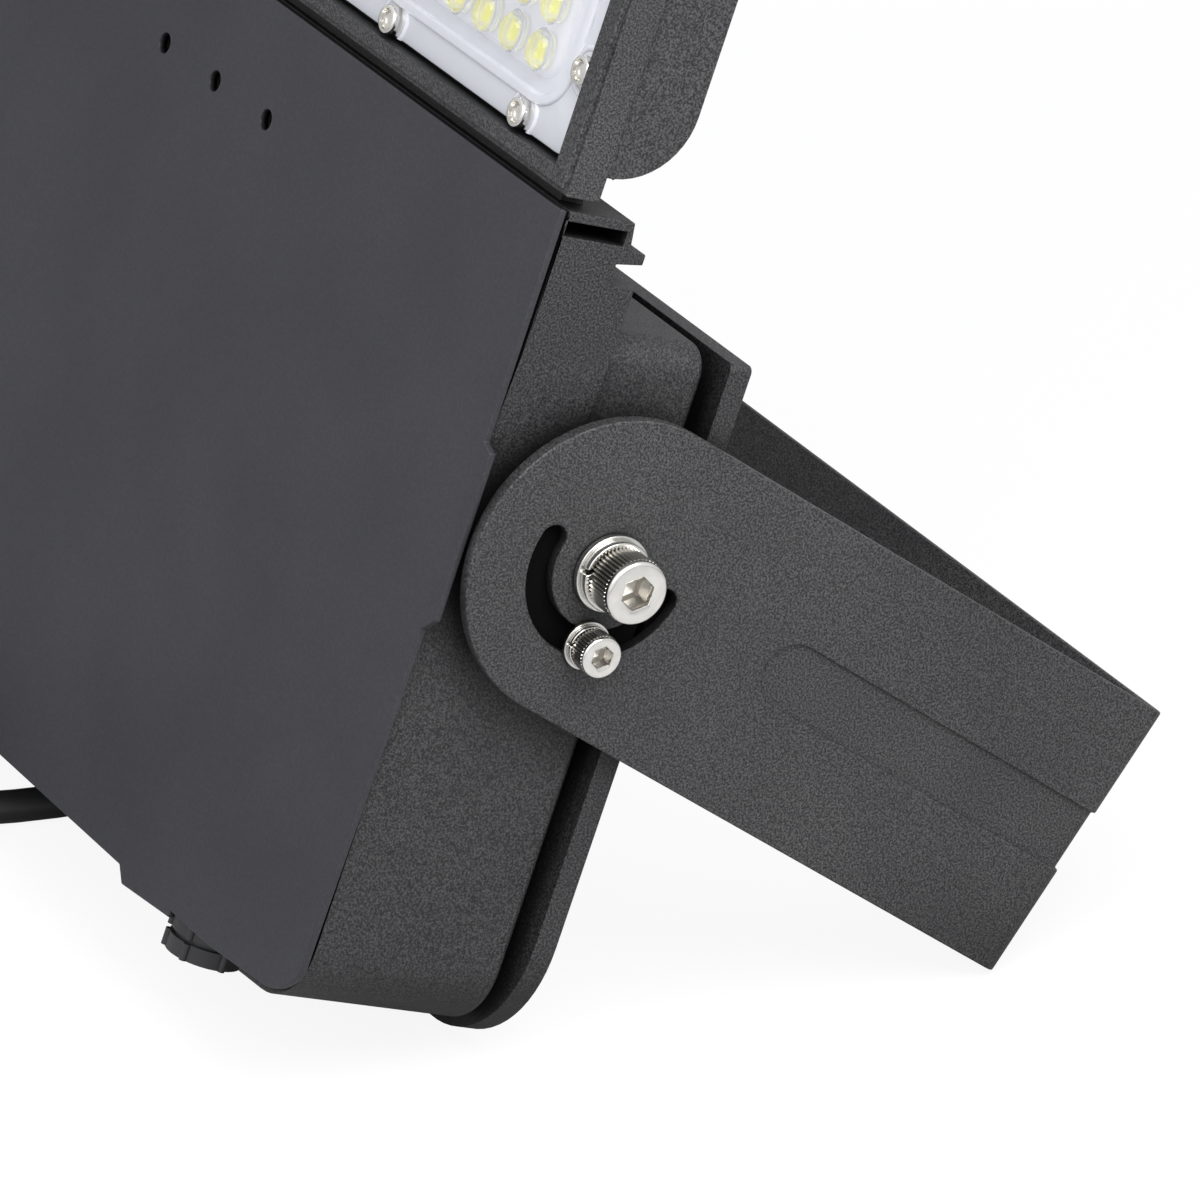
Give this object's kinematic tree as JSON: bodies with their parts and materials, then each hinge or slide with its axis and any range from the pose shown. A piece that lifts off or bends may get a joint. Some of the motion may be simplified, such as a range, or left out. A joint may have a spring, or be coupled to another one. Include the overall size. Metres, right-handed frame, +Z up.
{
  "type": "led floodlight",
  "caption": "Large flat floodlight: a die-cast driver box hinged in a folded U-bracket, with a finned light casting above it, standing on its bracket.",
  "frame": {"origin": "centre of the lamp's outline on the floor that it stands on, without its cord", "axes": "+X to the lamp's right as seen from its light face, -Y towards what it lights, +Z up"},
  "size_m": [0.3024, 0.2816, 0.4391],
  "materials": {
    "bracket_steel": "fine textured black powder coat on folded steel",
    "casting": "fine textured black powder coat on die-cast aluminium",
    "cover": "smooth satin dark grey powder coat",
    "steel": "bright stainless",
    "rubber": "matt",
    "black_plastic": "satin moulded nylon",
    "lens": "clear moulded polycarbonate",
    "board": "white solder mask",
    "driver": "plain",
    "cable": "satin black jacket",
    "cores": "brown, blue and green sleeves"
  },
  "bodies": {
    "head": {"driver_housing": "casting", "driver_cover": "cover", "cover_seal": "rubber", "cover_screws": "steel", "light_casting": "casting", "lens_plate": "lens", "lens_seal": "rubber", "led_board": "board", "lens_screws": "steel", "joint_screws": "steel", "led_driver": "driver", "driver_screws": "steel", "terminal_block": "black_plastic", "gland_body": "black_plastic", "gland_seal": "rubber", "gland_nut": "black_plastic", "gland_locknut": "black_plastic", "blanking_plug": "black_plastic", "plug_seal": "rubber", "pivot_washers": "steel", "pivot_spring_washers": "steel", "pivot_screws": "steel", "lock_washers": "steel", "lock_spring_washers": "steel", "lock_screws": "steel", "mains_cable": "cable", "cable_coil": "cable", "cable_tie": "black_plastic", "cable_cores": "cores"},
    "bracket": {"bracket": "bracket_steel"}
  },
  "joints": [
    {"name": "bracket_tilt", "type": "hinge", "parent": "head", "child": "bracket", "pos_m": [0, -0.03096, 0.10784], "axis": [1, 0, 0], "range_deg": [-72, 96]}
  ]
}
